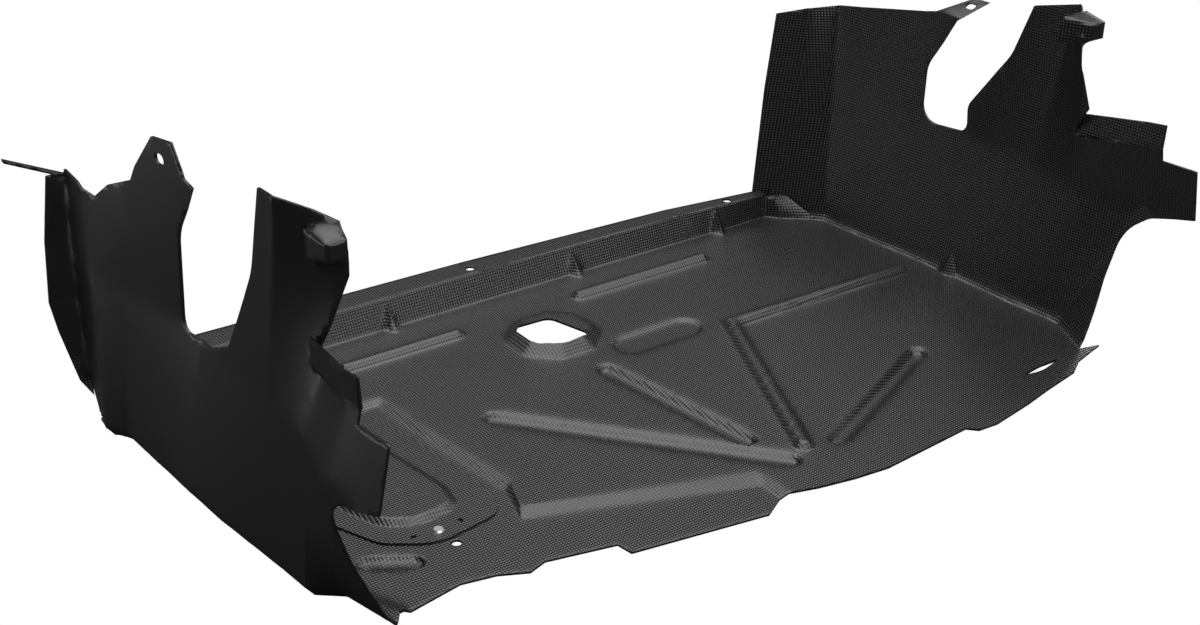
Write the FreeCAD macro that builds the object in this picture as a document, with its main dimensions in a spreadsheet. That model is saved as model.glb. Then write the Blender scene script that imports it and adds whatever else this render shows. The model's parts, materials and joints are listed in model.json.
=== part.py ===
import FreeCAD, Part
import math
import os

import Sketcher

# Engine splash shield: one formed plastic sheet with a pan, a rear rim and two wheel-arch
# side walls, a riveted access cover and its rivet. Millimetres throughout.
# Modelling frame: X runs from the left wall's foot to the right wall's foot, Y runs back
# from the front edge to the rear rim, and Z is up from the pan's upper face.

SIZES = {
    # the sheet
    "sheet_thickness": 3.0,
    # pan
    "foot_span": 1000.0,
    "seam_depth": 563.0,
    # beads pressed into the pan
    "ridge_height": 9.0,
    "groove_depth": 8.0,
    "bead_half_width": 13.0,
    "bead_slope": 42.0,
    "pad_half_width": 24.0,
    "pad_depth": 4.0,
    "ledge_groove_half_width": 12.0,
    "ledge_groove_depth": 5.0,
    # lowered ledge at the front left, under the access cover
    "ledge_depth": 6.0,
    "ledge_slope": 9.0,
    # rear rim
    "rim_height": 36.0,
    "rim_hole_radius": 6.5,
    "rim_hole_left_x": 428.0,
    "rim_hole_left_y": 595.0,
    "rim_hole_right_x": 858.0,
    "rim_hole_right_y": 580.0,
    "gusset_width": 26.0,
    "gusset_reach": 17.0,
    "gusset_top_gap": 4.0,
    "gusset_tip_width": 3.0,
    "gusset_tip_reach": 0.5,
    "corner_gusset_height": 32.0,
    "seam_gusset_height": 30.0,
    # boss with the eye-shaped hole
    "boss_x": 452.0,
    "boss_y": 426.0,
    "boss_radius": 66.0,
    "boss_height": 14.0,
    "boss_slope": 50.0,
    "boss_round": 22.0,
    # side walls
    "waist_height": 190.0,
    "loft_height": 430.0,
    "foot_round": 9.0,
    # hood, strip, flap and lip at the front of each wall
    "hood_back": 104.0,
    "hood_front": 70.0,
    "hood_height": 32.0,
    "left_hood_bottom": 361.0,
    "right_hood_bottom": 385.0,
    "hood_out": 10.0,
    "left_hood_in": 24.0,
    "right_hood_in": 32.0,
    "hood_lift": 8.0,
    "hood_drop": 4.0,
    "strip_rear": 100.0,
    "strip_rear_height": 260.0,
    "strip_front": 22.0,
    "strip_front_height": 279.0,
    "strip_rise": 28.0,
    "strip_lean": 1.0,
    "strip_middle": 4.0,
    "strip_root": 4.0,
    "strip_step": 4.0,
    "flap_reach": 73.0,
    "flap_top": 266.0,
    "flap_bottom": 200.0,
    # fastening tabs
    "tab_hole_back": 388.0,
    "tab_hole_height": 370.0,
    "tab_hole_length": 17.0,
    "tab_hole_radius": 6.0,
    "bent_tab_hole_length": 15.0,
    "bent_tab_hole_radius": 4.5,
    "bent_tab_back": 349.0,
    "bent_tab_foot": 344.0,
    "bent_tab_reach": 32.0,
    "bent_tab_rise": 25.0,
    "bent_tab_base": 48.0,
    "bent_tab_end": 28.0,
    "bent_tab_shift": 34.0,
    # tongue at the top of the left wall's rear flange
    "rear_tongue_reach": 62.0,
    "rear_tongue_low": 287.0,
    "rear_tongue_high": 322.0,
    # access cover, its opening and its rivet
    "cover_thickness": 2.5,
    "crown_rise": 6.0,
    "crown_slope": 55.0,
    "clinch_radius": 3.2,
    "clinch_left_x": 96.0,
    "clinch_left_y": 142.0,
    "clinch_right_x": 152.0,
    "clinch_right_y": 141.0,
    "rivet_x": 124.0,
    "rivet_y": 139.0,
    "rivet_head_radius": 6.5,
    "rivet_head_height": 1.6,
    "rivet_shank_radius": 2.4,
    "rivet_tail_radius": 4.5,
    "rivet_tail_height": 1.0,
    "rivet_clearance": 0.1,
    "drain_x": 130.0,
    "drain_y": 111.0,
    "drain_radius": 5.5,
}


class Term:
    """A number together with the cell expression that it comes from."""

    def __init__(self, text, value):
        self.text = text
        self.value = float(value)

    def combine(self, sign, other, value):
        return Term("(%s %s %s)" % (self.text, sign, term(other).text), value)

    def __add__(self, other):
        return self.combine("+", other, self.value + term(other).value)

    def __sub__(self, other):
        return self.combine("-", other, self.value - term(other).value)

    def __mul__(self, other):
        return self.combine("*", other, self.value * term(other).value)

    def __truediv__(self, other):
        return self.combine("/", other, self.value / term(other).value)

    def __radd__(self, other):
        return term(other) + self

    def __rsub__(self, other):
        return term(other) - self

    def __rmul__(self, other):
        return term(other) * self

    def __neg__(self):
        return term(0) - self


def term(value):
    """Wrap a plain number, and leave a term as it is."""
    return value if isinstance(value, Term) else Term(repr(float(value)), value)


def tangent(angle):
    return Term("tan(%s * 1 deg)" % angle.text, math.tan(math.radians(angle.value)))


def secant(angle):
    return Term("(1 / cos(%s * 1 deg))" % angle.text, 1 / math.cos(math.radians(angle.value)))


class Sheet:
    """The table of driving sizes, read as attributes: each one is a term."""

    def __init__(self, doc, sizes):
        self.table = doc.addObject("Spreadsheet::Sheet", "Sizes")
        self.values = sizes
        for row, (name, value) in enumerate(sizes.items(), start=1):
            self.table.set("A%d" % row, name)
            self.table.set("B%d" % row, str(value))
            self.table.setAlias("B%d" % row, name)

    def __getattr__(self, name):
        return Term("Sizes." + name, self.values[name])


def origin_plane(body, role):
    return [item for item in body.Origin.OriginFeatures if item.Role == role][0]


def new_sketch(body, name, role="XY_Plane", lift=0):
    """An empty sketch on one of the body's planes, lifted along the plane's normal."""
    sketch = body.newObject("Sketcher::SketchObject", name)
    sketch.AttachmentSupport = [(origin_plane(body, role), "")]
    sketch.MapMode = "FlatFace"
    sketch.AttachmentOffset = FreeCAD.Placement(FreeCAD.Vector(0, 0, term(lift).value), FreeCAD.Rotation())
    sketch.setExpression(".AttachmentOffset.Base.z", term(lift).text)
    return sketch


def drive(sketch, kind, *spec):
    """Add one constraint whose last item is a term, and tie it to the term's cells."""
    value = term(spec[-1])
    index = sketch.addConstraint(Sketcher.Constraint(kind, *spec[:-1], value.value))
    sketch.setExpression("Constraints[%d]" % index, value.text)


def pin_point(sketch, geometry, end, x, y):
    drive(sketch, "DistanceX", -1, 1, geometry, end, x)
    drive(sketch, "DistanceY", -1, 1, geometry, end, y)


def draw_loop(sketch, corners):
    """A closed outline through corners (x, y) or (x, y, radius)."""
    count = len(corners)
    base = sketch.GeometryCount
    points = [FreeCAD.Vector(term(c[0]).value, term(c[1]).value, 0) for c in corners]
    cuts = []
    for i, corner in enumerate(corners):
        back = points[i - 1] - points[i]
        ahead = points[(i + 1) % count] - points[i]
        radius = term(corner[2]).value if len(corner) > 2 else 0.0
        cuts.append(radius / math.tan(back.getAngle(ahead) / 2) if radius else 0.0)
    for i in range(count):
        j = (i + 1) % count
        along = (points[j] - points[i]).normalize()
        start = points[i] + along * cuts[i]
        stop = points[j] - along * cuts[j]
        sketch.addGeometry(Part.LineSegment(start, stop), False)
    for i, corner in enumerate(corners):
        before = base + (i - 1) % count
        if not cuts[i]:
            sketch.addConstraint(Sketcher.Constraint("Coincident", before, 2, base + i, 1))
            pin_point(sketch, base + i, 1, corner[0], corner[1])
            continue
        round_corner(sketch, before, base + i, points[i - 1], points[i], points[(i + 1) % count], corner)


def round_corner(sketch, before, after, back_point, point, ahead_point, corner):
    """The tangent arc of one corner, held by its corner point and its radius."""
    radius = term(corner[2]).value
    back = (back_point - point).normalize()
    ahead = (ahead_point - point).normalize()
    half = back.getAngle(ahead) / 2
    centre = point + (back + ahead).normalize() * (radius / math.sin(half))
    first = point + back * (radius / math.tan(half)) - centre
    second = point + ahead * (radius / math.tan(half)) - centre
    left_turn = back.cross(ahead).z < 0
    ends = (first, second) if left_turn else (second, first)
    angles = [math.atan2(v.y, v.x) for v in ends]
    if angles[1] < angles[0]:
        angles[1] += 2 * math.pi
    circle = Part.Circle(centre, FreeCAD.Vector(0, 0, 1), radius)
    arc = sketch.addGeometry(Part.ArcOfCircle(circle, angles[0], angles[1]), False)
    mark = sketch.addGeometry(Part.Point(point), True)
    near, far = (1, 2) if left_turn else (2, 1)
    sketch.addConstraint(Sketcher.Constraint("Tangent", before, 2, arc, near))
    sketch.addConstraint(Sketcher.Constraint("Tangent", arc, far, after, 1))
    sketch.addConstraint(Sketcher.Constraint("PointOnObject", mark, 1, before))
    sketch.addConstraint(Sketcher.Constraint("PointOnObject", mark, 1, after))
    drive(sketch, "Radius", arc, corner[2])
    pin_point(sketch, mark, 1, corner[0], corner[1])


def draw_stadium(sketch, start, stop, radius):
    """A straight slot outline between two centres."""
    a = FreeCAD.Vector(term(start[0]).value, term(start[1]).value, 0)
    b = FreeCAD.Vector(term(stop[0]).value, term(stop[1]).value, 0)
    size = term(radius).value
    along = (b - a).normalize()
    side = FreeCAD.Vector(-along.y, along.x, 0) * size
    turn = math.atan2(side.y, side.x)
    up = FreeCAD.Vector(0, 0, 1)
    sketch.addGeometry(Part.LineSegment(b + side, a + side), False)
    sketch.addGeometry(Part.ArcOfCircle(Part.Circle(a, up, size), turn, turn + math.pi), False)
    sketch.addGeometry(Part.LineSegment(a - side, b - side), False)
    sketch.addGeometry(Part.ArcOfCircle(Part.Circle(b, up, size), turn - math.pi, turn), False)
    for one, two in ((0, 1), (1, 2), (2, 3), (3, 0)):
        sketch.addConstraint(Sketcher.Constraint("Tangent", one, 2, two, 1))
    drive(sketch, "Radius", 1, radius)
    pin_point(sketch, 1, 3, start[0], start[1])
    pin_point(sketch, 3, 3, stop[0], stop[1])


def draw_circle(sketch, x, y, radius):
    centre = FreeCAD.Vector(term(x).value, term(y).value, 0)
    circle = Part.Circle(centre, FreeCAD.Vector(0, 0, 1), term(radius).value)
    index = sketch.addGeometry(circle, False)
    drive(sketch, "Radius", index, radius)
    pin_point(sketch, index, 3, x, y)


def extrude(body, kind, sketch, length, reverse=False, taper=None):
    """Pad or pocket a sketch by a driven length, with driven taper in degrees."""
    feature = body.newObject("PartDesign::" + kind, sketch.Name + "_" + kind.lower())
    feature.Profile = sketch
    feature.Length = term(length).value
    feature.setExpression("Length", term(length).text)
    feature.Reversed = reverse
    if taper is not None:
        feature.TaperAngle = term(taper).value
        feature.setExpression("TaperAngle", term(taper).text)
    sketch.Visibility = False
    return feature


def loft(body, name, sections, kind="AdditiveLoft"):
    feature = body.newObject("PartDesign::" + kind, name)
    feature.Profile = sections[0]
    feature.Sections = sections[1:]
    feature.Ruled = True
    return feature


# How far the cutting sketches stand clear of the sheet, and how far they reach past it.
CLEAR = 5
FAR = 900.0

# Each wall is lofted through its foot, waist and top. A fold line of the wall is given by how far
# it stands out from the foot plane and how far back it lies, at each of those three levels.
LEVELS = ("foot", "waist", "top")
FOLDS = {
    "right": {
        "rear_end": ((-84, 592), (-62, 599), (-18, 610)),
        "rear_fold": ((-48, 556), (-28, 560), (2, 572)),
        "rear_bend": ((-10, 503), (8, 527), (36, 560)),
        "slot_back": ((9, 330), (33, 345), (32, 350)),
        "slot_front": ((14, 260), (34, 280), (15, 192)),
        "crease": ((19, 160), (33, 175), (28, 124)),
        "column_front": ((24, 112), (33, 92), (-42, 64)),
        "lip": ((26, 82), (52, 8), (-14, -15)),
        "front": ((-3, 22), (43, -75), (-8, -76)),
    },
    "left": {
        "rear_end": ((100, 570), (90, 596), (70, 603)),
        "rear_fold": ((104, 514), (88, 540), (72, 545)),
        "rear_bend": ((88, 487), (64, 480), (52, 480)),
        "slot_back": ((74, 345), (33, 345), (32, 350)),
        "slot_front": ((66, 272), (34, 280), (15, 192)),
        "crease": ((47, 154), (33, 175), (28, 124)),
        "column_front": ((41, 110), (33, 92), (-42, 64)),
        "lip": ((16, 90), (52, 8), (-14, -15)),
        "front": ((-3, 22), (43, -75), (-8, -76)),
    },
}


def fold_sizes():
    """One named size for each coordinate of each fold line."""
    sizes = {}
    for side, folds in FOLDS.items():
        for fold, levels in folds.items():
            for level, (out, back) in zip(LEVELS, levels):
                sizes["%s_%s_%s_out" % (side, fold, level)] = out
                sizes["%s_%s_%s_back" % (side, fold, level)] = back
    return sizes


def fold_point(size, side, fold, level, inset=0):
    """Plan position of a wall's outer face at one fold line."""
    out = getattr(size, "%s_%s_%s_out" % (side, fold, level)) - inset
    back = getattr(size, "%s_%s_%s_back" % (side, fold, level))
    if side == "left":
        return -out, back
    return size.foot_span + out, back


def wall_section(body, size, side, level, lift, inset=0):
    """A closed strip one sheet thick along the wall's fold lines at one level."""
    name = "%s_wall_%s%s" % (side, level, "_rounded" if inset else "")
    sketch = new_sketch(body, name, lift=lift)
    faces = [fold_point(size, side, fold, level, inset) for fold in FOLDS[side]]
    inward = size.sheet_thickness if side == "left" else -size.sheet_thickness
    inner = [(x + inward, y) for x, y in faces]
    draw_loop(sketch, faces + inner[::-1])
    return sketch


def add_wall(body, size, side):
    sections = [
        wall_section(body, size, side, "foot", -size.sheet_thickness, size.foot_round),
        wall_section(body, size, side, "foot", size.foot_round),
        wall_section(body, size, side, "waist", size.waist_height),
        wall_section(body, size, side, "top", size.loft_height),
    ]
    loft(body, side + "_wall", sections)


# The cut edge along each wall's top, from the rear end down into the axle slot and up to the
# column's front: how far back and how high each corner lies, with its rounding.
WALL_EDGE = {
    "right": {
        "rear": (606, 297, 0),
        "shoulder": (570, 309, 0),
        "rise": (500, 321, 80),
        "crown": (385, 343, 0),
        "tab": (348, 352, 0),
        "mouth": (322, 350, 0),
        "slot_high": (370, 271, 40),
        "slot_rear": (370, 190, 26),
        "slot_floor": (287, 199, 16),
        "slot_knee": (289, 238, 24),
        "slot_bow": (219, 328, 80),
        "column": (189, 401, 0),
        "column_top": (124, 417, 0),
        "column_front": (106, 420, 0),
        "notch": (98, 411, 0),
    },
    "left": {
        "rear": (606, 297, 0),
        "shoulder": (556, 297, 0),
        "dip": (522, 289, 0),
        "crown": (497, 310, 0),
        "tab_foot": (453, 328, 0),
        "tab_flank": (441, 347, 30),
        "tab_rear": (400, 391, 0),
        "tab_front": (362, 395, 0),
        "tab_low": (345, 361, 0),
        "mouth": (327, 357, 0),
        "slot_high": (368, 296, 60),
        "slot_rear": (379, 180, 14),
        "slot_floor": (322, 181, 40),
        "slot_knee": (270, 205, 24),
        "slot_bow": (198, 318, 80),
        "column": (176, 409, 0),
        "column_top": (126, 420, 0),
        "column_front": (102, 409, 0),
        "notch": (86, 400, 0),
    },
}
COLUMN_EDGE = {
    "right": {
        "high": (76, 397, 0),
        "middle": (73, 350, 0),
        "low": (70, 305, 0),
    },
    "left": {
        "high": (79, 373, 0),
        "middle": (76, 350, 0),
        "low": (86, 301, 0),
    },
}
LIP_EDGE = {
    "hollow": (-8, 178, 40),
    "bow": (29, 147, 60),
    "low": (33, 84, 90),
}


def edge_corners(size, prefix, table):
    corners = []
    for name, (_, _, rounding) in table.items():
        start = prefix + name
        corner = (getattr(size, start + "_back"), getattr(size, start + "_height"))
        corners.append(corner + (getattr(size, start + "_round"),) if rounding else corner)
    return corners


def wall_outline(size, side):
    """Side view of all that is cut away above and in front of a wall, as (back, height)."""
    above = size.loft_height + 12 * CLEAR
    outline = [(FAR, above), (FAR, getattr(size, side + "_edge_rear_height"))]
    outline += edge_corners(size, side + "_edge_", WALL_EDGE[side])
    outline += edge_corners(size, side + "_column_", COLUMN_EDGE[side])
    outline += [
        (size.strip_rear, size.strip_rear_height),
        (-size.strip_front, size.strip_front_height),
        (-size.strip_front, size.flap_top - size.strip_step),
        (-size.flap_reach, size.flap_top),
        (-size.flap_reach, size.flap_bottom),
    ]
    outline += edge_corners(size, "lip_edge_", LIP_EDGE)
    outline += [
        (size.left_front_foot_back, 1.0),
        (-FAR, 1.0),
        (-FAR, above),
    ]
    return outline


def side_x(size, side, out):
    """Modelling X of a place that stands out from a wall's foot plane by the given amount."""
    return -out if side == "left" else size.foot_span + out


def fold_at(size, side, fold, height):
    """Where a fold line's outer face is at a height: out and back."""
    if height.value < size.waist_height.value:
        start, low, stop, high = "foot", size.foot_round, "waist", size.waist_height
    else:
        start, low, stop, high = "waist", size.waist_height, "top", size.loft_height
    share = (height - low) / (high - low)
    places = []
    for axis in ("out", "back"):
        lower = getattr(size, "%s_%s_%s_%s" % (side, fold, start, axis))
        upper = getattr(size, "%s_%s_%s_%s" % (side, fold, stop, axis))
        places.append(lower + (upper - lower) * share)
    return places


def wall_face(size, side, behind, ahead, back, height):
    """How far the panel between two fold lines stands out at a depth and a height."""
    near_out, near_back = fold_at(size, side, behind, height)
    far_out, far_back = fold_at(size, side, ahead, height)
    return near_out + (far_out - near_out) * (back - near_back) / (far_back - near_back)


# The pan's front edge, from left to right: how far right and how far back each corner lies.
FRONT_EDGE = {
    "left_tip": (24, 36),
    "left_bay": (99, 49),
    "left_turn": (137, 41),
    "left_lobe": (168, 26),
    "left_hollow": (190, 33),
    "left_notch": (268, 15),
    "left_step": (272, -5),
    "dish_left": (410, -28),
    "dish_middle": (434, -32),
    "dish_right": (462, -16),
    "middle_left": (506, -29),
    "middle": (552, -38),
    "middle_right": (597, -43),
    "right_notch": (729, -33),
    "right_step": (740, -44),
    "right_lobe": (768, -46),
    "right_side": (834, -35),
    "right_bay": (875, -26),
    "right_rise": (937, -14.5),
    "right_turn": (964, 1),
    "right_edge": (999, 10),
    "right_tip": (1017, 14),
}

# Straight beads: the centres of their two round ends.
RIDGES = {
    "rear_left_ridge": ((195, 498), (349, 498)),
    "rear_right_ridge": ((544, 501), (749, 501)),
    "fork_left": ((663, 323), (547, 44)),
    "fork_right": ((663, 323), (958, 316)),
}
GROOVES = {
    "diagonal_groove": ((286, 298), (518, 30)),
    "short_groove": ((462, 318), (503, 92)),
    "front_right_groove": ((592, 34), (812, 132)),
}
PAD = {"shallow_pad": ((523, 352), (608, 352))}
LEDGE_GROOVE = {"ledge_groove": ((37, 131), (77, 106))}

# The lowered ledge: corners of its upper edge, with how far right and back its floor's corner is.
LEDGE = {
    "front_left": ((30, -120), (1, 0)),
    "left_tip": ((30, 34), (1, 0)),
    "left_near": ((2, 88), (1, 0)),
    "left_middle": ((-6, 130), (1, 0)),
    "left_far": ((-18, 414), (1, -1)),
    "rear": ((198, 414), (-1, -1)),
    "right_far": ((207, 320), (-1, 0)),
    "right_middle": ((222, 232), (-1, 0)),
    "right_near": ((232, 168), (-1, 0)),
    "corner": ((216, 124), (-1, -1.8)),
    "front_right": ((470, 34), (-1, -2.4)),
    "front_end": ((476, -120), (-1, 0)),
}

# The access cover's outline, the slit at the front right and the eye-shaped hole, each corner
# with its rounding.
COVER = {
    "rear_left": (20, 392, 20),
    "rear_right": (166, 392, 16),
    "right_far": (186, 318, 60),
    "right_near": (205, 186, 60),
    "corner": (200, 132, 26),
    "front_right": (166, 126, 20),
    "front": (112, 118, 60),
    "front_left": (62, 152, 40),
    "left": (32, 218, 60),
}
CROWN = {
    "rear_left": (54, 362, 20),
    "rear_right": (136, 362, 16),
    "right_far": (152, 308, 40),
    "right_near": (171, 206, 40),
    "corner": (165, 163, 22),
    "front": (112, 156, 50),
    "front_left": (76, 176, 36),
    "left": (56, 226, 50),
}
OPENING = {
    "rear_left": (66, 350, 14),
    "rear_right": (126, 350, 14),
    "right": (148, 212, 30),
    "front_right": (142, 178, 14),
    "front_left": (90, 184, 16),
    "left": (68, 232, 30),
}
# The notch at the left wall's rear bottom corner: how far back and how high each corner lies.
REAR_NOTCH = {
    "below": (556, -20, 0),
    "foot": (546, 6, 0),
    "inner": (520, 13, 0),
    "rise": (535, 29, 0),
    "high": (553, 40, 0),
    "top": (575, 47, 0),
    "rear": (640, 47, 0),
    "rear_below": (640, -20, 0),
}
SLIT = {
    "left": (877, 15, 0),
    "rear": (912, 19.5, 60),
    "right": (948, 18.5, 0),
    "front": (906, 9, 60),
}
EYE = {
    "rear_left": (-45, 27, 12),
    "rear_right": (10, 25, 16),
    "right": (30, -40, 7),
    "front": (-12, -46, 30),
    "left": (-44, -22, 24),
}


def table_sizes():
    """The sizes held in the tables above, one named value each."""
    sizes = {}
    for name, place in FRONT_EDGE.items():
        sizes["front_%s_x" % name] = place[0]
        sizes["front_%s_y" % name] = place[1]
    for name, ends in {**RIDGES, **GROOVES, **PAD, **LEDGE_GROOVE}.items():
        for label, place in zip(("start", "end"), ends):
            sizes["%s_%s_x" % (name, label)] = place[0]
            sizes["%s_%s_y" % (name, label)] = place[1]
    for name, (place, _) in LEDGE.items():
        sizes["ledge_%s_x" % name] = place[0]
        sizes["ledge_%s_y" % name] = place[1]
    shapes = {"cover": COVER, "crown": CROWN, "opening": OPENING, "slit": SLIT, "eye": EYE}
    for prefix, table in shapes.items():
        for name, corner in table.items():
            sizes["%s_%s_x" % (prefix, name)] = corner[0]
            sizes["%s_%s_y" % (prefix, name)] = corner[1]
            if corner[2]:
                sizes["%s_%s_round" % (prefix, name)] = corner[2]
    edges = {
        "right_edge_": WALL_EDGE["right"],
        "left_edge_": WALL_EDGE["left"],
        "right_column_": COLUMN_EDGE["right"],
        "left_column_": COLUMN_EDGE["left"],
        "lip_edge_": LIP_EDGE,
        "rear_notch_": REAR_NOTCH,
    }
    for prefix, table in edges.items():
        for name, corner in table.items():
            sizes[prefix + name + "_back"] = corner[0]
            sizes[prefix + name + "_height"] = corner[1]
            if corner[2]:
                sizes[prefix + name + "_round"] = corner[2]
    for name, (out, height) in REAR_FLANGE.items():
        sizes["rear_flange_%s_out" % name] = out
        sizes["rear_flange_%s_height" % name] = height
    for name, (x, lean) in RIM_GUSSETS.items():
        sizes["rim_gusset_%s_x" % name] = x
        sizes["rim_gusset_%s_lean" % name] = lean
    for name, (x, bend, back) in RIM.items():
        sizes["rim_%s_x" % name] = x
        sizes["rim_%s_bend" % name] = bend
        sizes["rim_%s_back" % name] = back
    for table in (CORNER_GUSSET, SEAM_GUSSET):
        for name, places in table.items():
            for label, place in zip(("foot", "tip"), places):
                sizes["%s_%s_x" % (name, label)] = place[0]
                sizes["%s_%s_y" % (name, label)] = place[1]
    return sizes


def named_place(size, name):
    return getattr(size, name + "_x"), getattr(size, name + "_y")


def table_loop(size, prefix, table, centre=(0, 0)):
    """The rounded outline that a table names, about a centre."""
    corners = []
    for name in table:
        x, y = named_place(size, "%s_%s" % (prefix, name))
        corner = (centre[0] + x, centre[1] + y)
        rounded = table[name][2]
        corners.append(corner + (getattr(size, "%s_%s_round" % (prefix, name)),) if rounded else corner)
    return corners


def bead_radius(size, half_width, raised, skin):
    """Half width of a bead where it leaves the sheet, for the visible skin or the one behind it."""
    if not skin:
        return half_width
    thickness = size.sheet_thickness
    slant = tangent(size.bead_slope)
    rise = secant(size.bead_slope)
    if raised:
        return half_width + thickness * (slant - rise)
    return half_width + thickness * (rise - slant)


def add_beads(body, size, beads, half_width, depth, raised, level=0):
    """Pad every bead at a level, then hollow every one, so that crossing beads stay open."""
    thickness = size.sheet_thickness
    for name in beads:
        ends = named_place(size, name + "_start"), named_place(size, name + "_end")
        sketch = new_sketch(body, name, lift=term(level) if raised else level - thickness)
        draw_stadium(sketch, *ends, bead_radius(size, half_width, raised, not raised))
        extrude(body, "Pad", sketch, depth, reverse=not raised, taper=-size.bead_slope)
    for name in beads:
        ends = named_place(size, name + "_start"), named_place(size, name + "_end")
        sketch = new_sketch(body, name + "_hollow", lift=level - thickness if raised else term(level))
        draw_stadium(sketch, *ends, bead_radius(size, half_width, raised, raised))
        extrude(body, "Pocket", sketch, depth, reverse=raised, taper=-size.bead_slope)


def octagon(centre, radius, rounding):
    """Eight rounded corners about a centre, two of them on each side of each axis."""
    corners = []
    for k in range(8):
        angle = math.radians(22.5 + 45 * k)
        corners.append((centre[0] + radius * math.cos(angle), centre[1] + radius * math.sin(angle), rounding))
    return corners


def add_pan(body, size):
    thickness = size.sheet_thickness
    sketch = new_sketch(body, "pan", lift=-thickness)
    corners = [(900, -110), (100, -110)]
    for side in ("left", "right"):
        folds = [name for name in FOLDS[side] if name != "rear_end"]
        places = [fold_point(size, side, fold, "foot", size.foot_round) for fold in folds]
        seam = (fold_point(size, side, "rear_fold", "foot", size.foot_round)[0], size.seam_depth + thickness)
        corners += places[::-1] + [seam] if side == "left" else [seam] + places
    tip = named_place(size, "front_right_tip")
    corners += [tip, (tip[0], -110)]
    draw_loop(sketch, corners)
    extrude(body, "Pad", sketch, thickness)


def ledge_sketch(body, size, name, lift, floor):
    sketch = new_sketch(body, name, lift=lift)
    corners = []
    for key, (_, inward) in LEDGE.items():
        x, y = named_place(size, "ledge_" + key)
        if floor:
            x = x + size.ledge_slope * inward[0]
            y = y + size.ledge_slope * inward[1]
        corners.append((x, y))
    draw_loop(sketch, corners)
    return sketch


def add_ledge(body, size):
    thickness = size.sheet_thickness
    depth = size.ledge_depth
    for kind, name, top in (("AdditiveLoft", "ledge_skin", -thickness), ("SubtractiveLoft", "ledge_bed", 0)):
        upper = ledge_sketch(body, size, name + "_edge", top, False)
        lower = ledge_sketch(body, size, name + "_floor", top - depth, True)
        loft(body, name, [upper, lower], kind)


def add_boss(body, size):
    centre = (size.boss_x, size.boss_y)
    thickness = size.sheet_thickness
    outer = new_sketch(body, "boss")
    draw_loop(outer, octagon(centre, size.boss_radius, size.boss_round))
    extrude(body, "Pad", outer, size.boss_height, taper=-size.boss_slope)
    radius = size.boss_radius + thickness * (tangent(size.boss_slope) - secant(size.boss_slope))
    inner = new_sketch(body, "boss_hollow", lift=-thickness)
    draw_loop(inner, octagon(centre, radius, size.boss_round))
    extrude(body, "Pocket", inner, size.boss_height, reverse=True, taper=-size.boss_slope)
    eye = new_sketch(body, "eye_hole", lift=size.boss_height + CLEAR)
    draw_loop(eye, table_loop(size, "eye", EYE, centre))
    extrude(body, "Pocket", eye, 2 * CLEAR)


def add_front_edge(body, size):
    """Trim the pan to its front edge."""
    sketch = new_sketch(body, "front_edge", lift=8)
    corners = [named_place(size, "front_" + name) for name in FRONT_EDGE]
    first = fold_point(size, "left", "front", "foot", size.foot_round)
    last = corners[-1]
    corners = [(first[0] - 60, first[1] + 2), (first[0] + 4, first[1] + 2)] + corners
    corners += [(last[0] + 60, last[1]), (last[0] + 60, -200), (first[0] - 60, -200)]
    draw_loop(sketch, corners)
    extrude(body, "Pocket", sketch, 40)


# The rear rim at six places from left to right: how far right, then how far back its bend and
# its rear edge lie.
RIM = {
    "corner": (-97, 579, 597),
    "left": (-88, 579, 604),
    "bay": (-40, 579, 626),
    "middle": (430, 579, 618),
    "right": (760, 575, 604),
    "end": (922, 565, 584),
}


def rim_profile(body, size, name):
    """The rim's section at one place, one sheet thick; the corner's own starts above the wall's foot."""
    thickness = size.sheet_thickness
    bend = getattr(size, "rim_%s_bend" % name)
    back = getattr(size, "rim_%s_back" % name)
    low = size.foot_round if name == "corner" else term(0)
    seam = size.seam_depth + (bend - size.seam_depth) * low / size.rim_height
    profile = new_sketch(body, "rim_" + name, "YZ_Plane", lift=getattr(size, "rim_%s_x" % name))
    draw_loop(
        profile,
        [
            (seam - 6, low),
            (seam, low),
            (bend, size.rim_height),
            (back, size.rim_height),
            (back, size.rim_height - thickness),
            (bend + thickness, size.rim_height - thickness),
            (seam + thickness, low - thickness),
            (seam - 6, low - thickness),
        ],
    )
    return profile


def add_rim(body, size):
    loft(body, "rear_rim", [rim_profile(body, size, name) for name in RIM])
    holes = new_sketch(body, "rim_holes", lift=size.rim_height + CLEAR)
    draw_circle(holes, size.rim_hole_left_x, size.rim_hole_left_y, size.rim_hole_radius)
    draw_circle(holes, size.rim_hole_right_x, size.rim_hole_right_y, size.rim_hole_radius)
    extrude(body, "Pocket", holes, 3 * CLEAR)


def gusset_sketch(body, name, place, lift, width, reach):
    x, y = place
    sketch = new_sketch(body, name, lift=lift)
    draw_loop(sketch, [(x - width / 2, y + 2), (x, y - reach), (x + width / 2, y + 2)])
    return sketch


# The rim's three small gussets: how far right each lies and how far back the rim leans there.
RIM_GUSSETS = {
    "left": (290, 15),
    "middle": (577, 13),
    "right": (827, 6),
}

# Corners of the two solid gussets: each one's foot on the pan and its tip against the wall.
CORNER_GUSSET = {
    "corner_gusset_rear": ((916, 566), (917, 566)),
    "corner_gusset_left": ((934, 545), (929, 558)),
    "corner_gusset_right": ((977, 506), (949, 556)),
    "corner_gusset_far": ((973, 513), (942, 566)),
}
SEAM_GUSSET = {
    "seam_gusset_rear": ((1002.5, 291), (1014.8, 276)),
    "seam_gusset_inner": ((996, 271), (1011.5, 273)),
    "seam_gusset_front": ((1005.5, 252), (1015, 270)),
}


def add_corner_gusset(body, size, name, table, height):
    sections = []
    for label, lift in (("foot", -1.5), ("tip", height)):
        sketch = new_sketch(body, "%s_%s" % (name, label), lift=lift)
        draw_loop(sketch, [named_place(size, "%s_%s" % (corner, label)) for corner in table])
        sections.append(sketch)
    loft(body, name, sections)


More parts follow.
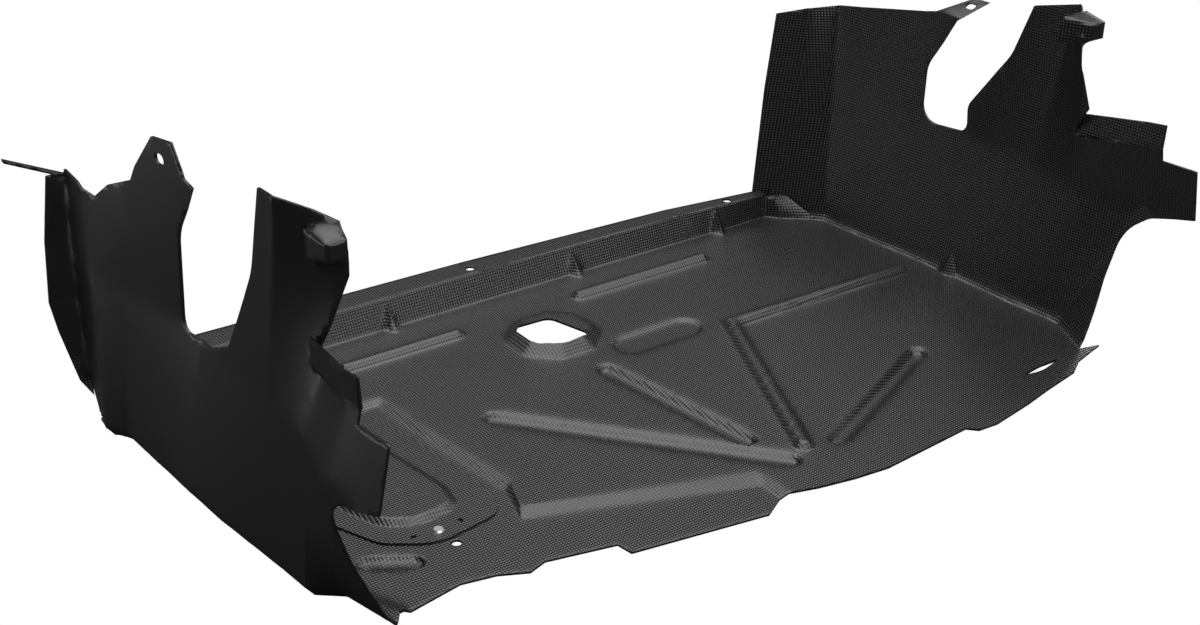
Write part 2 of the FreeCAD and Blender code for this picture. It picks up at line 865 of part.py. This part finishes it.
def add_gussets(body, size):
    """Three small pyramids that stiffen the rim's step, hollow from behind."""
    thickness = size.sheet_thickness
    height = size.rim_height - size.gusset_top_gap
    for name in RIM_GUSSETS:
        x = getattr(size, "rim_gusset_%s_x" % name)
        lean = getattr(size, "rim_gusset_%s_lean" % name)
        for kind, shift in (("AdditiveLoft", 0), ("SubtractiveLoft", thickness)):
            low = gusset_sketch(
                body,
                "%s_gusset_%s" % (name, "hollow" if shift else "foot"),
                (x, size.seam_depth + shift),
                -term(shift),
                size.gusset_width,
                size.gusset_reach,
            )
            high = gusset_sketch(
                body,
                "%s_gusset_%s" % (name, "hollow_tip" if shift else "tip"),
                (x, size.seam_depth + lean + shift),
                height - shift,
                size.gusset_tip_width,
                size.gusset_tip_reach,
            )
            loft(body, "%s_gusset%s" % (name, "_bed" if shift else ""), [low, high], kind)


def trim_wall(body, size, side):
    """Cut one wall to its side outline."""
    lift = size.foot_span * (0.3 if side == "left" else 1.4)
    sketch = new_sketch(body, side + "_outline", "YZ_Plane", lift=lift)
    draw_loop(sketch, wall_outline(size, side))
    extrude(body, "Pocket", sketch, size.foot_span * 0.6)


def add_rear_notch(body, size):
    """Cut the left wall's rear bottom corner away, outside the rim's end."""
    sketch = new_sketch(body, "rear_notch", "YZ_Plane", lift=size.rim_corner_x + size.sheet_thickness)
    draw_loop(sketch, edge_corners(size, "rear_notch_", REAR_NOTCH))
    extrude(body, "Pocket", sketch, 50)


def upright_quad(body, size, side, name, back, corners):
    """A four-cornered section across one wall, at a depth; corners are (out, height)."""
    sketch = new_sketch(body, name, "XZ_Plane", lift=-term(back))
    places = [(side_x(size, side, corner[0]),) + tuple(corner[1:]) for corner in corners]
    draw_loop(sketch, places)
    return sketch


def add_strip(body, size, side):
    """The narrow strip that stands on the wall's front top edge."""
    thickness = size.sheet_thickness
    rise = size.strip_rise
    slope = (size.strip_front_height - size.strip_rear_height) / (size.strip_front + size.strip_rear)
    sections = []
    for label, behind, ahead, back in (
        ("rear", "crease", "column_front", size.strip_rear),
        ("middle", "column_front", "lip", size.strip_middle),
        ("front", "lip", "front", -size.strip_front),
    ):
        height = size.strip_rear_height + slope * (size.strip_rear - back)
        out = wall_face(size, side, behind, ahead, back, height)
        root = height - size.strip_root
        corners = [
            (out - thickness, root),
            (out + 0.5, root),
            (out + size.strip_lean, height + rise),
            (out + size.strip_lean - thickness, height + rise),
        ]
        sections.append(upright_quad(body, size, side, "%s_strip_%s" % (side, label), back, corners))
    loft(body, side + "_strip", sections)


def add_hood(body, size, side):
    """The small hood that bulges forward from the column's top, open behind."""
    thickness = size.sheet_thickness
    bottom = getattr(size, side + "_hood_bottom")
    top = bottom + size.hood_height
    hood_in = getattr(size, side + "_hood_in")
    for kind, inset, name in (("AdditiveLoft", 0.0, "hood"), ("SubtractiveLoft", thickness, "hood_mouth")):
        root = [
            (-hood_in + inset, bottom + inset),
            (size.hood_out - inset, bottom + inset),
            (size.hood_out - inset, top - inset),
            (-hood_in + inset, top - inset),
        ]
        tip = [
            (-size.hood_out * 1.6 + inset, bottom + size.hood_lift + inset),
            (size.hood_out * 0.4 - inset, bottom + size.hood_lift + inset),
            (size.hood_out * 0.4 - inset, top - size.hood_drop - inset),
            (-size.hood_out * 1.6 + inset, top - size.hood_drop - inset),
        ]
        far = upright_quad(body, size, side, "%s_%s_root" % (side, name), size.hood_back + inset, root)
        near = upright_quad(body, size, side, "%s_%s_tip" % (side, name), size.hood_front + inset, tip)
        loft(body, "%s_%s" % (side, name), [far, near], kind)


def add_left_tab_hole(body, size):
    sketch = new_sketch(body, "left_tab_hole", "YZ_Plane", lift=40)
    middle = size.tab_hole_back
    half = size.tab_hole_length / 2 - size.tab_hole_radius
    ends = (middle - half, size.tab_hole_height), (middle + half, size.tab_hole_height)
    draw_stadium(sketch, *ends, size.tab_hole_radius)
    extrude(body, "Pocket", sketch, 120)


def add_right_tab(body, size):
    """The fastening tab on the right wall, bent outward, with its slotted hole."""
    base_out = fold_at(size, "right", "slot_back", size.bent_tab_foot)[0]
    top = size.bent_tab_foot + size.bent_tab_rise
    sections = []
    for name, lift, reach, shift, width in (
        ("base", size.bent_tab_foot, term(0), term(0), size.bent_tab_base),
        ("end", top, size.bent_tab_reach, size.bent_tab_shift, size.bent_tab_end),
    ):
        sketch = new_sketch(body, "right_tab_" + name, lift=lift)
        far = size.foot_span + base_out + reach
        near = far - size.sheet_thickness * 1.3
        front = size.bent_tab_back - shift - width / 2
        back = size.bent_tab_back - shift + width / 2
        draw_loop(sketch, [(near, front), (far, front), (far, back), (near, back)])
        sections.append(sketch)
    loft(body, "right_tab", sections)
    hole = new_sketch(body, "right_tab_hole", lift=top + CLEAR)
    x = size.foot_span + base_out + size.bent_tab_reach * 0.6
    y = size.bent_tab_back - size.bent_tab_shift * 0.75
    half = size.bent_tab_hole_length / 2 - size.bent_tab_hole_radius
    draw_stadium(hole, (x, y - half), (x, y + half), size.bent_tab_hole_radius)
    extrude(body, "Pocket", hole, size.bent_tab_rise + CLEAR)


# The rear flange's outer edge, from the bottom up: how far left of the foot plane, and how high.
REAR_FLANGE = {
    "foot": (97, 24),
    "low": (109, 46),
    "lower": (121, 110),
    "middle": (125, 146),
    "upper": (116, 219),
    "top": (102, 294),
}


def add_rear_flange(body, size):
    """The plate that turns outward along the left wall's rear edge, with the tongue at its top."""
    depth = size.sheet_thickness
    sections = []
    for name in REAR_FLANGE:
        height = getattr(size, "rear_flange_%s_height" % name)
        edge = getattr(size, "rear_flange_%s_out" % name)
        out, back = fold_at(size, "left", "rear_end", height)
        sketch = new_sketch(body, "rear_flange_" + name, lift=height)
        root = depth * 0.8 - out
        draw_loop(sketch, [(root, back - depth), (-edge, back - depth), (-edge, back), (root, back)])
        sections.append(sketch)
    loft(body, "rear_flange", sections)
    low = size.rear_tongue_low
    end = size.rear_tongue_high
    out, back = fold_at(size, "left", "rear_end", low)
    root = out - depth * 0.8
    tip = out + size.rear_tongue_reach
    tongue = [(root, low), (tip, end - depth), (tip, end), (root, low + depth * 1.2)]
    sketch = upright_quad(body, size, "left", "rear_tongue", back - depth, tongue)
    extrude(body, "Pad", sketch, depth * 3, reverse=True)


def add_floor_holes(body, size):
    """The access opening under the cover, the drain hole and the rivet's hole."""
    sketch = new_sketch(body, "floor_holes", lift=CLEAR)
    draw_loop(sketch, table_loop(size, "opening", OPENING))
    draw_loop(sketch, table_loop(size, "slit", SLIT))
    draw_circle(sketch, size.drain_x, size.drain_y, size.drain_radius)
    draw_circle(sketch, size.rivet_x, size.rivet_y, size.rivet_shank_radius + size.rivet_clearance)
    extrude(body, "Pocket", sketch, 6 * CLEAR)


def add_shield(doc, size):
    shield = doc.addObject("PartDesign::Body", "splash_shield")
    add_pan(shield, size)
    add_ledge(shield, size)
    add_beads(shield, size, RIDGES, size.bead_half_width, size.ridge_height, True)
    add_beads(shield, size, GROOVES, size.bead_half_width, size.groove_depth, False)
    add_beads(shield, size, PAD, size.pad_half_width, size.pad_depth, False)
    add_beads(
        shield,
        size,
        LEDGE_GROOVE,
        size.ledge_groove_half_width,
        size.ledge_groove_depth,
        False,
        -size.ledge_depth,
    )
    add_boss(shield, size)
    add_front_edge(shield, size)
    add_floor_holes(shield, size)
    add_rim(shield, size)
    add_gussets(shield, size)
    add_corner_gusset(shield, size, "corner_gusset", CORNER_GUSSET, size.corner_gusset_height)
    for side in ("left", "right"):
        add_wall(shield, size, side)
        trim_wall(shield, size, side)
        add_strip(shield, size, side)
        add_hood(shield, size, side)
    add_rear_notch(shield, size)
    add_corner_gusset(shield, size, "seam_gusset", SEAM_GUSSET, size.seam_gusset_height)
    add_left_tab_hole(shield, size)
    add_right_tab(shield, size)
    add_rear_flange(shield, size)
    return shield


def add_cover(doc, size):
    """The access cover: a flat edge on the ledge and a crowned middle, hollow below."""
    body = doc.addObject("PartDesign::Body", "access_cover")
    thickness = size.cover_thickness
    seat = -size.ledge_depth
    sketch = new_sketch(body, "cover", lift=seat)
    draw_loop(sketch, table_loop(size, "cover", COVER))
    extrude(body, "Pad", sketch, thickness)
    crown = new_sketch(body, "crown", lift=seat + thickness)
    draw_loop(crown, table_loop(size, "crown", CROWN))
    extrude(body, "Pad", crown, size.crown_rise, taper=-size.crown_slope)
    hollow = new_sketch(body, "crown_hollow", lift=seat)
    draw_loop(hollow, table_loop(size, "crown", CROWN))
    extrude(body, "Pocket", hollow, size.crown_rise, reverse=True, taper=-size.crown_slope)
    holes = new_sketch(body, "cover_holes", lift=CLEAR)
    draw_circle(holes, size.clinch_left_x, size.clinch_left_y, size.clinch_radius)
    draw_circle(holes, size.clinch_right_x, size.clinch_right_y, size.clinch_radius)
    draw_circle(holes, size.rivet_x, size.rivet_y, size.rivet_shank_radius + size.rivet_clearance)
    extrude(body, "Pocket", holes, 6 * CLEAR)
    return body


def add_rivet(doc, size):
    """The rivet: a domed head on the cover, a shank, and a flat tail under the pan."""
    body = doc.addObject("PartDesign::Body", "cover_rivet")
    top = size.cover_thickness - size.ledge_depth
    bottom = -size.ledge_depth - size.sheet_thickness
    steps = (
        ("shank", bottom, top - bottom, size.rivet_shank_radius, False),
        ("head", top, size.rivet_head_height, size.rivet_head_radius, False),
        ("tail", bottom, size.rivet_tail_height, size.rivet_tail_radius, True),
    )
    for name, lift, length, radius, down in steps:
        sketch = new_sketch(body, "rivet_" + name, lift=lift)
        draw_circle(sketch, size.rivet_x, size.rivet_y, radius)
        taper = term(-45) if name == "head" else None
        extrude(body, "Pad", sketch, length, reverse=down, taper=taper)
    return body


def main():
    os.makedirs("parts", exist_ok=True)
    doc = FreeCAD.newDocument("splash_shield")
    sizes = dict(SIZES)
    sizes.update(fold_sizes())
    sizes.update(table_sizes())
    size = Sheet(doc, sizes)
    doc.recompute()
    bodies = [add_shield(doc, size), add_cover(doc, size), add_rivet(doc, size)]
    doc.recompute()
    check_states(doc, bodies)
    set_down(bodies)
    for body in bodies:
        body.Shape.exportStep("parts/%s.step" % body.Label)
    return doc


def check_states(doc, bodies):
    for item in doc.Objects:
        if "Invalid" in item.State or "Error" in item.State:
            raise ValueError("%s did not build" % item.Name)
    for body in bodies:
        if body.Shape.isNull() or not body.Shape.isValid():
            raise ValueError("%s has no sound shape" % body.Label)


def set_down(bodies):
    """Move every piece alike, so that the origin is the middle of the whole thing's underside."""
    box = FreeCAD.BoundBox()
    for body in bodies:
        box.add(body.Shape.optimalBoundingBox(False, False))
    shift = FreeCAD.Vector(-box.Center.x, -box.Center.y, -box.ZMin)
    for body in bodies:
        body.Placement = FreeCAD.Placement(shift, FreeCAD.Rotation())


main()
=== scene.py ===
import json
import math
import bmesh
import bpy
from mathutils import Euler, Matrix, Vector

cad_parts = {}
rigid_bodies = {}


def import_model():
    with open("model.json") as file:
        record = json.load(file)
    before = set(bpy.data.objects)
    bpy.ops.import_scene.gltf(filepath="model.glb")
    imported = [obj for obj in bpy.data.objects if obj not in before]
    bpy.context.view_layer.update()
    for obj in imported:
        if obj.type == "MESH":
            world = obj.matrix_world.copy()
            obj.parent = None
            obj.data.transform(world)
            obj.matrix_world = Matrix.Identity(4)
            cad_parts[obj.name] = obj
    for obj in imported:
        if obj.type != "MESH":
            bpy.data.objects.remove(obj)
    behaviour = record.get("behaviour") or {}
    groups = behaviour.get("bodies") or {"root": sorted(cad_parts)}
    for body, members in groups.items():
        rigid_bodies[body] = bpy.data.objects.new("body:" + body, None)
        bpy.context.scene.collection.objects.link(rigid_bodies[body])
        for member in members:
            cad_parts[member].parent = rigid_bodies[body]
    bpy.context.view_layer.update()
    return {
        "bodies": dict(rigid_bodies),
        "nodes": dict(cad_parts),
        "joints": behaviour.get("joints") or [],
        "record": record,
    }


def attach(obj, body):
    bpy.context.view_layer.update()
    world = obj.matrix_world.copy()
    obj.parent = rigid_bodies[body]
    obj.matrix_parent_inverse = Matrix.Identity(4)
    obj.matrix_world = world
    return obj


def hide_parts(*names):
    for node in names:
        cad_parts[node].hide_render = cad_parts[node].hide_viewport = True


bl_info = {
    "name": "Splash Shield Dresser",
    "version": (1, 0, 0),
    "blender": (4, 5, 0),
    "location": "View3D > Sidebar > Splash Shield",
    "description": "Dresses the packed engine splash shield and sets its stage",
    "category": "Object",
}

STATE = {}

# Cutting and softening the meshes
MERGE_DISTANCE = 1e-5
FLAT_ANGLE = math.radians(0.7)
CUT_EDGE_ANGLE = math.radians(62)
SHARP_ANGLE = math.radians(40)
EASE = 0.5

# Which faces look into the tray
TRAY_EYE = Vector((0.0, 0.0, 0.55))
TRAY_LOOK = 0.12
WALL_LOW = 0.09
WALL_OUT = 0.4
WALL_LOOK = 0.06

# The plastic's gloss, the random patches in which the grain's painted highlight is weaker, and how
# much of a dome the grain's painted highlight takes
GLOSS = 0.9
SMOOTH_ROUGHNESS = 0.34
GRAIN_ROUGHNESS = 0.27
PATCH_SCALE = 7.0
PATCH_DETAIL = 3.0
PATCH_LEAST = 0.75
PATCH_SPAN = (0.3, 0.7)
HIGHLIGHT_SPAN = (0.6, 0.95)

# The studio: how the world brightens with height, and each lamp's place, the point that it looks
# at, its width and height, and its power
WORLD_GRADE = {"From Min": 0.56, "From Max": 0.86, "To Min": 0.06, "To Max": 2.0}
FLOOR_REACH = 12.0
LAMPS = {
    "top": ((0.0, 0.8, 2.4), (0.0, 0.0, 0.0), (2.2, 1.0), 3),
    "front": ((0.7, -2.7, 1.3), (0.2, 0.0, 0.1), (1.8, 0.9), 15),
    "left": ((-1.9, 0.9, 0.16), (-0.5, 0.0, 0.1), (1.4, 0.3), 2.2),
    "right": ((2.5, 0.2, 0.9), (0.5, 0.0, 0.2), (1.4, 0.9), 14),
}

# The camera that was fitted to the photograph, with its distances in the photograph's pixels
PHOTO_WIDTH = 1200
FOCAL_PIXELS = 1575.92051
SHIFT_PIXELS = (0.548, -0.941)
SENSOR_WIDTH = 36.0
CAMERA_PLACE = (-0.964725, -1.363982, 0.983965)
CAMERA_DOWN = 0.481081209
CAMERA_ASIDE = 0.597176582


class Wire:
    """One shader socket that can be added to and multiplied like a number."""

    def __init__(self, tree, socket):
        self.tree = tree
        self.socket = socket

    def put(self, into):
        self.tree.links.new(self.socket, into)

    def maths(self, operation, other=None):
        values = {0: self}
        if other is not None:
            values[1] = other
        node = add_node(self.tree, "ShaderNodeMath", {"operation": operation}, values)
        return Wire(self.tree, node.outputs[0])

    def __add__(self, other):
        return self.maths("ADD", other)

    def __radd__(self, other):
        return self.maths("ADD", other)

    def __sub__(self, other):
        return self.maths("SUBTRACT", other)

    def __rsub__(self, other):
        return self.maths("MULTIPLY", -1.0).maths("ADD", other)

    def __mul__(self, other):
        return self.maths("MULTIPLY", other)

    def __rmul__(self, other):
        return self.maths("MULTIPLY", other)


def add_node(tree, kind, settings, values):
    """A new node: its settings come first, then a value or a wire for each of its sockets."""
    node = tree.nodes.new(kind)
    for name, value in settings.items():
        setattr(node, name, value)
    for name, value in values.items():
        if isinstance(value, Wire):
            value.put(node.inputs[name])
        else:
            node.inputs[name].default_value = value
    return node


class Paint:
    """A new material with its Principled shader and helpers for its wires."""

    def __init__(self, name):
        self.material = bpy.data.materials.new(name)
        self.material.use_nodes = True
        self.tree = self.material.node_tree
        self.shader = self.tree.nodes["Principled BSDF"]

    def wire(self, output, kind, settings, values):
        node = add_node(self.tree, kind, settings, values)
        return Wire(self.tree, node.outputs[output])

    def set(self, **values):
        for name, value in values.items():
            self.shader.inputs[name.replace("_", " ")].default_value = value

    def noise(self, scale, detail):
        place = self.wire("Object", "ShaderNodeTexCoord", {}, {})
        values = {"Scale": scale, "Detail": detail, "Vector": place}
        return self.wire("Fac", "ShaderNodeTexNoise", {}, values)

    def attribute(self, name):
        return self.wire("Fac", "ShaderNodeAttribute", {"attribute_name": name}, {})

    def ramp(self, wire, low, high, start=0.0, stop=1.0):
        values = {"From Min": start, "From Max": stop, "To Min": low, "To Max": high, "Value": wire}
        return self.wire("Result", "ShaderNodeMapRange", {}, values)

    def tint(self, wire, low, high):
        values = {"Factor": wire, "A": (*low, 1), "B": (*high, 1)}
        mixed = self.wire("Result", "ShaderNodeMix", {"data_type": "RGBA"}, values)
        mixed.put(self.shader.inputs["Base Color"])

    def bump(self, wire, distance):
        values = {"Strength": 1.0, "Distance": distance, "Height": wire}
        self.wire("Normal", "ShaderNodeBump", {}, values).put(self.shader.inputs["Normal"])

    def bright_to_camera(self):
        """Plain white where the camera sees it, its own colour for every other ray."""
        glow = self.wire("Emission", "ShaderNodeEmission", {}, {})
        seen = self.wire("Is Camera Ray", "ShaderNodeLightPath", {}, {})
        own = Wire(self.tree, self.shader.outputs[0])
        mixed = self.wire("Shader", "ShaderNodeMixShader", {}, {0: seen, 1: own, 2: glow})
        mixed.put(self.tree.nodes["Material Output"].inputs["Surface"])


class SplashShieldSizes(bpy.types.PropertyGroup):
    """Sizes and colours of the dressing and the stage."""

    grain: bpy.props.FloatProperty(name="Grain pitch", default=0.0036, unit="LENGTH")
    grain_depth: bpy.props.FloatProperty(name="Grain depth", default=0.0004, unit="LENGTH")
    smooth: bpy.props.FloatVectorProperty(
        name="Smooth side", default=(0.006, 0.006, 0.0062), subtype="COLOR"
    )
    # Painted highlight: the lighter colour given to the tops of the grain's domes on the inner faces
    grain_highlight: bpy.props.FloatVectorProperty(
        name="Painted grain highlight", default=(0.1, 0.1, 0.103), subtype="COLOR"
    )
    cell: bpy.props.FloatProperty(name="Sheet cell", default=0.008, unit="LENGTH")
    cover_cell: bpy.props.FloatProperty(name="Cover cell", default=0.004, unit="LENGTH")
    passes: bpy.props.IntProperty(name="Sheet passes", default=2)
    cover_passes: bpy.props.IntProperty(name="Cover passes", default=1)
    wall_passes: bpy.props.IntProperty(name="Wall passes", default=16)
    wall_foot: bpy.props.FloatProperty(name="Wall foot height", default=0.05, unit="LENGTH")
    floor: bpy.props.FloatVectorProperty(
        name="Floor colour", default=(0.03, 0.03, 0.03), subtype="COLOR"
    )
    rivet: bpy.props.FloatVectorProperty(
        name="Rivet colour", default=(0.82, 0.82, 0.83), subtype="COLOR"
    )


def grain_height(paint, sizes):
    """The embossed grain: small domes in diagonal rows over the piece's own map."""
    tree = paint.tree
    layout = paint.wire(0, "ShaderNodeUVMap", {"uv_map": "sheet"}, {})
    split = add_node(tree, "ShaderNodeSeparateXYZ", {}, {0: layout})
    u = Wire(tree, split.outputs[0])
    v = Wire(tree, split.outputs[1])
    turn = math.pi / sizes.grain
    along = ((u + v) * turn).maths("SINE")
    across = ((u - v) * turn).maths("SINE")
    return (along * across + 1.0) * 0.5


def lay_map(mesh):
    """A map in metres: each face is laid flat along the axis that it looks along most."""
    layer = mesh.uv_layers.new(name="sheet")
    for face in mesh.polygons:
        looks = [abs(value) for value in face.normal]
        across = looks.index(max(looks))
        first, second = ((1, 2), (0, 2), (0, 1))[across]
        for corner in face.loop_indices:
            place = mesh.vertices[mesh.loops[corner].vertex_index].co
            layer.data[corner].uv = (place[first], place[second])


def sheet_paint(sizes, name):
    """Black plastic: smooth on the outside, with grain on the inner faces whose dome tops carry a
    painted highlight.
    """
    paint = Paint(name)
    paint.set(IOR=1.5, Specular_IOR_Level=GLOSS)
    inner = paint.attribute("inner")
    height = grain_height(paint, sizes)
    # Random patches in which the painted highlight on the grain tops is weaker, down to three
    # quarters of its strength
    patchy = paint.ramp(paint.noise(PATCH_SCALE, PATCH_DETAIL), PATCH_LEAST, 1.0, *PATCH_SPAN)
    # Painted highlight: on inner faces the tops of the grain's domes are tinted from the smooth
    # black towards the lighter highlight colour, as lit tops would look
    painted_tops = paint.ramp(height, 0.0, 1.0, *HIGHLIGHT_SPAN)
    paint.tint(painted_tops * inner * patchy, sizes.smooth, sizes.grain_highlight)
    rough = paint.ramp(inner, SMOOTH_ROUGHNESS, GRAIN_ROUGHNESS)
    rough.put(paint.shader.inputs["Roughness"])
    paint.bump(height * inner, sizes.grain_depth)
    return paint.material


def mark_inner(mesh):
    """Mark the faces that look into the tray: those have the grain, the others are smooth."""
    flags = mesh.attributes.new("inner", "FLOAT", "FACE")
    for face in mesh.polygons:
        towards = (TRAY_EYE - face.center).normalized()
        looks_in = face.normal.dot(towards) > TRAY_LOOK
        if face.center.z > WALL_LOW and abs(face.center.x) > WALL_OUT:
            looks_in = face.normal.x * face.center.x < -WALL_LOOK
        flags.data[face.index].value = 1.0 if looks_in else 0.0


def cut_small(work, step):
    """Cut the faces into cells no wider than a step, by planes across each axis."""
    bmesh.ops.dissolve_limit(work, angle_limit=FLAT_ANGLE, verts=work.verts, edges=work.edges)
    for axis in range(3):
        low = min(vert.co[axis] for vert in work.verts)
        high = max(vert.co[axis] for vert in work.verts)
        count = int((high - low) / step)
        across = Vector((0.0, 0.0, 0.0))
        across[axis] = 1.0
        for index in range(1, count + 1):
            place = across * (low + (high - low) * index / (count + 1))
            everything = work.verts[:] + work.edges[:] + work.faces[:]
            bmesh.ops.bisect_plane(
                work, geom=everything, plane_co=place, plane_no=across, dist=MERGE_DISTANCE
            )
    bmesh.ops.triangulate(work, faces=work.faces)


def is_cut_edge(edge):
    """An edge where the sheet ends, or a hole begins: it turns sharply away."""
    if len(edge.link_faces) != 2 or not edge.is_convex:
        return False
    return edge.calc_face_angle() > CUT_EDGE_ANGLE


def ease(work, verts):
    bmesh.ops.smooth_vert(
        work, verts=verts, factor=EASE, use_axis_x=True, use_axis_y=True, use_axis_z=True
    )


def soften(work, passes, wall_passes, wall_foot):
    """Round the folds and the seams, more so up the walls, and keep the sheet's cut edges."""
    held = set()
    for edge in work.edges:
        if is_cut_edge(edge):
            held.update(edge.verts)
    free = [vert for vert in work.verts if vert not in held]
    for index in range(passes):
        ease(work, free)
    for index in range(wall_passes):
        height = wall_foot * (1.0 + index / wall_passes)
        ease(work, [vert for vert in free if vert.co.z > height])


def rebuilt(node, name, step, passes, wall_passes=0, wall_foot=0.0):
    """A copy of a CAD node as a plain mesh with shared corners, cut finer and softened."""
    mesh = node.data.copy()
    piece = bpy.data.objects.new(name, mesh)
    bpy.context.scene.collection.objects.link(piece)
    work = bmesh.new()
    work.from_mesh(mesh)
    bmesh.ops.remove_doubles(work, verts=work.verts, dist=MERGE_DISTANCE)
    cut_small(work, step)
    soften(work, passes, wall_passes, wall_foot)
    work.to_mesh(mesh)
    work.free()
    return piece


def dress(piece, sizes, paint_name):
    """Grain map, plastic and shading: smooth, but broken at sharp edges, led by the larger faces."""
    mesh = piece.data
    mark_inner(mesh)
    lay_map(mesh)
    mesh.materials.clear()
    mesh.materials.append(sheet_paint(sizes, paint_name))
    for face in mesh.polygons:
        face.use_smooth = True
    mesh.set_sharp_from_angle(angle=SHARP_ANGLE)
    weighted = piece.modifiers.new("weighted", "WEIGHTED_NORMAL")
    weighted.keep_sharp = True


class SPLASH_OT_sheet(bpy.types.Operator):
    """Dress the formed sheet"""

    bl_idname = "splash.sheet"
    bl_label = "Dress the sheet"

    def execute(self, context):
        sizes = context.scene.splash_sizes
        node = STATE["frame"]["nodes"]["splash_shield"]
        softness = (sizes.passes, sizes.wall_passes, sizes.wall_foot)
        piece = rebuilt(node, "formed_sheet", sizes.cell, *softness)
        dress(piece, sizes, "formed_black")
        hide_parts("splash_shield")
        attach(piece, "root")
        return {"FINISHED"}


class SPLASH_OT_cover(bpy.types.Operator):
    """Dress the access cover"""

    bl_idname = "splash.cover"
    bl_label = "Dress the cover"

    def execute(self, context):
        sizes = context.scene.splash_sizes
        node = STATE["frame"]["nodes"]["access_cover"]
        piece = rebuilt(node, "riveted_cover", sizes.cover_cell, sizes.cover_passes)
        dress(piece, sizes, "cover_black")
        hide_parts("access_cover")
        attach(piece, "root")
        return {"FINISHED"}


class SPLASH_OT_rivet(bpy.types.Operator):
    """Give the rivet its bare metal"""

    bl_idname = "splash.rivet"
    bl_label = "Dress the rivet"

    def execute(self, context):
        sizes = context.scene.splash_sizes
        metal = Paint("rivet_metal")
        metal.set(Metallic=1.0, Roughness=0.3, Base_Color=(*sizes.rivet, 1))
        rivet = STATE["frame"]["nodes"]["cover_rivet"]
        rivet.data.materials.clear()
        rivet.data.materials.append(metal.material)
        return {"FINISHED"}


def graded_world():
    """A studio that is bright above and dim at the sides, and white where the camera sees it."""
    world = bpy.data.worlds.new("studio")
    world.use_nodes = True
    tree = world.node_tree
    place = add_node(tree, "ShaderNodeTexCoord", {}, {})
    split = add_node(tree, "ShaderNodeSeparateXYZ", {}, {0: Wire(tree, place.outputs["Generated"])})
    values = {**WORLD_GRADE, "Value": Wire(tree, split.outputs[2])}
    grade = add_node(tree, "ShaderNodeMapRange", {}, values)
    rays = add_node(tree, "ShaderNodeLightPath", {}, {})
    seen = Wire(tree, rays.outputs["Is Camera Ray"])
    strength = Wire(tree, grade.outputs["Result"]) * (1 - seen) + seen
    background = tree.nodes["Background"]
    background.inputs["Color"].default_value = (1, 1, 1, 1)
    strength.put(background.inputs["Strength"])
    return world


def area_light(name, place, target, size, power):
    light = bpy.data.lights.new(name, "AREA")
    light.shape = "RECTANGLE"
    light.size = size[0]
    light.size_y = size[1]
    light.energy = power
    lamp = bpy.data.objects.new(name, light)
    lamp.location = place
    lamp.rotation_euler = (Vector(target) - Vector(place)).to_track_quat("-Z", "Y").to_euler()
    bpy.context.scene.collection.objects.link(lamp)


def plain_floor(sizes):
    mesh = bpy.data.meshes.new("floor")
    reach = FLOOR_REACH
    corners = [(-reach, -reach, 0), (reach, -reach, 0), (reach, reach, 0), (-reach, reach, 0)]
    mesh.from_pydata(corners, [], [(0, 1, 2, 3)])
    floor = bpy.data.objects.new("floor", mesh)
    bpy.context.scene.collection.objects.link(floor)
    paint = Paint("floor_pale")
    paint.set(Base_Color=(*sizes.floor, 1), Roughness=0.9)
    paint.bright_to_camera()
    mesh.materials.append(paint.material)


def fitted_camera():
    lens = bpy.data.cameras.new("camera")
    lens.sensor_width = SENSOR_WIDTH
    lens.lens = FOCAL_PIXELS / PHOTO_WIDTH * SENSOR_WIDTH
    lens.shift_x = SHIFT_PIXELS[0] / PHOTO_WIDTH
    lens.shift_y = SHIFT_PIXELS[1] / PHOTO_WIDTH
    camera = bpy.data.objects.new("camera", lens)
    camera.location = CAMERA_PLACE
    camera.rotation_euler = Euler((math.pi / 2 - CAMERA_DOWN, 0.0, -CAMERA_ASIDE), "XYZ")
    bpy.context.scene.collection.objects.link(camera)
    return camera


class SPLASH_OT_stage(bpy.types.Operator):
    """Set the floor, the lights and the camera"""

    bl_idname = "splash.stage"
    bl_label = "Set the stage"

    def execute(self, context):
        scene = context.scene
        plain_floor(scene.splash_sizes)
        scene.world = graded_world()
        for name, lamp in LAMPS.items():
            area_light(name, *lamp)
        scene.camera = fitted_camera()
        scene.view_settings.view_transform = "Standard"
        return {"FINISHED"}


class SPLASH_PT_panel(bpy.types.Panel):
    """The sidebar panel"""

    bl_idname = "SPLASH_PT_panel"
    bl_label = "Splash Shield"
    bl_space_type = "VIEW_3D"
    bl_region_type = "UI"
    bl_category = "Splash Shield"

    def draw(self, context):
        for name in SplashShieldSizes.__annotations__:
            self.layout.prop(context.scene.splash_sizes, name)
        for operator in STEPS:
            self.layout.operator(operator.bl_idname)


STEPS = (SPLASH_OT_sheet, SPLASH_OT_cover, SPLASH_OT_rivet, SPLASH_OT_stage)
CLASSES = (SplashShieldSizes, *STEPS, SPLASH_PT_panel)


def register():
    for item in CLASSES:
        bpy.utils.register_class(item)
    bpy.types.Scene.splash_sizes = bpy.props.PointerProperty(type=SplashShieldSizes)


def unregister():
    del bpy.types.Scene.splash_sizes
    for item in reversed(CLASSES):
        bpy.utils.unregister_class(item)


def main():
    STATE["frame"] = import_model()
    register()
    bpy.ops.splash.sheet()
    bpy.ops.splash.cover()
    bpy.ops.splash.rivet()
    bpy.ops.splash.stage()
    bpy.context.view_layer.update()


if __name__ == "__main__":
    main()
